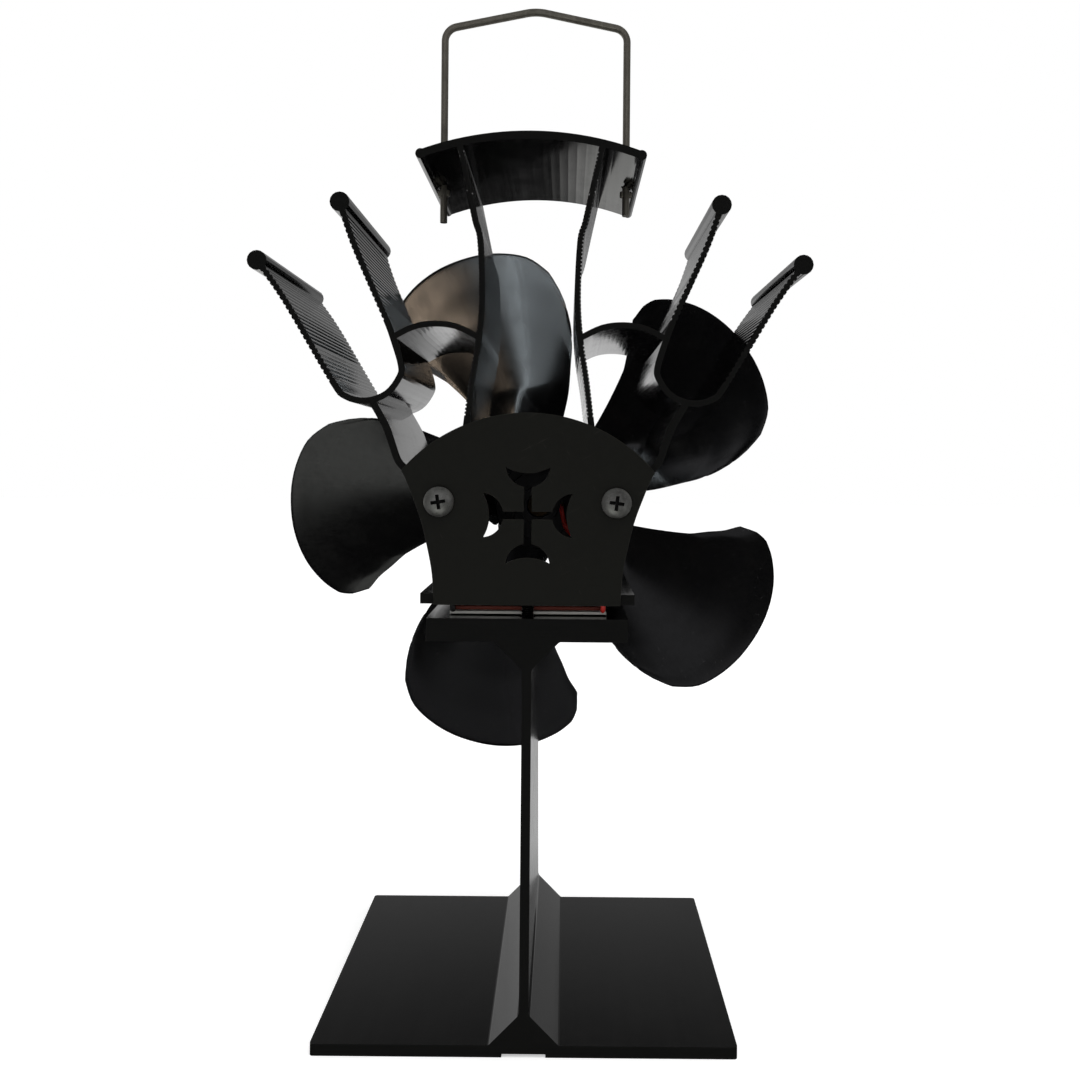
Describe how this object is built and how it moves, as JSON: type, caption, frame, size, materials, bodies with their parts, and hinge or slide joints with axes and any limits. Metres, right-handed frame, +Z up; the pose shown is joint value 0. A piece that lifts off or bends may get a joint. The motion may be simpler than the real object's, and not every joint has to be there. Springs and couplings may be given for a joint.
{
  "type": "stove fan",
  "caption": "Heat-powered stove fan: a foot and web feed a thermoelectric module under a finned heat sink, whose motor turns a bladed wheel; wire handle on top.",
  "frame": {"origin": "on the surface the fan stands on, under the middle of the whole fan with its wheel", "axes": "+Z up, +Y towards the fan wheel and the way the air is blown, +X to the right as seen from the cover plate"},
  "size_m": [0.1618, 0.0851, 0.2755],
  "materials": {
    "black_anodised": "satin black anodised extrusion",
    "black_plate": "matt black anodised sheet",
    "black_blades": "semi-gloss black anodised sheet",
    "black_turned": "satin black anodised, turned",
    "screw_steel": "dull zinc plate",
    "dark_steel": "black oxide",
    "bright_steel": "bright plated",
    "core_steel": "laminated, bare",
    "handle_steel": "drawn wire, slightly stained",
    "white_ceramic": "matt white ceramic",
    "pellet_metal": "dull metal",
    "red_seal": "dark red silicone",
    "black_plastic": "matt",
    "ferrite": "sintered, matt",
    "bronze": "sintered bronze",
    "copper": "copper",
    "red_insulation": "satin silicone",
    "black_insulation": "satin silicone"
  },
  "bodies": {
    "frame": {"base_stand": "black_anodised", "teg_hot_ceramic": "white_ceramic", "teg_pellets": "pellet_metal", "teg_seal": "red_seal", "teg_cold_ceramic": "white_ceramic", "heat_sink": "black_anodised", "cover_plate": "black_plate", "cover_screw_left": "screw_steel", "cover_screw_right": "screw_steel", "clamp_screw_near": "dark_steel", "clamp_screw_far": "dark_steel", "clamp_washer_near": "screw_steel", "clamp_washer_far": "screw_steel", "motor_case": "bright_steel", "motor_end_cap": "black_plastic", "motor_rear_bush": "bronze", "motor_front_bush": "bronze", "motor_magnet_left": "ferrite", "motor_magnet_right": "ferrite", "motor_brush_left": "copper", "motor_brush_right": "copper", "motor_terminal_left": "bronze", "motor_terminal_right": "bronze", "motor_bracket": "bright_steel", "bracket_screw_left": "screw_steel", "bracket_screw_right": "screw_steel", "motor_screw_left": "screw_steel", "motor_screw_right": "screw_steel", "red_lead": "red_insulation", "black_lead": "black_insulation"},
    "rotor": {"motor_shaft": "bright_steel", "motor_armature": "core_steel", "motor_coil_a": "copper", "motor_coil_b": "copper", "motor_coil_c": "copper", "motor_commutator": "copper", "fan_hub": "black_turned", "hub_set_screw": "dark_steel", "fan_wheel": "black_blades", "hub_cap": "black_turned"},
    "handle": {"carry_handle": "handle_steel"}
  },
  "joints": [
    {"name": "fan_spin", "type": "hinge", "parent": "frame", "child": "rotor", "pos_m": [0.002, 0.0325, 0.137], "axis": [0, 1, 0], "continuous": true},
    {"name": "handle_slide", "type": "slide", "parent": "frame", "child": "handle", "axis": [0, 0, 1], "range_m": [-0.031, 0]}
  ]
}
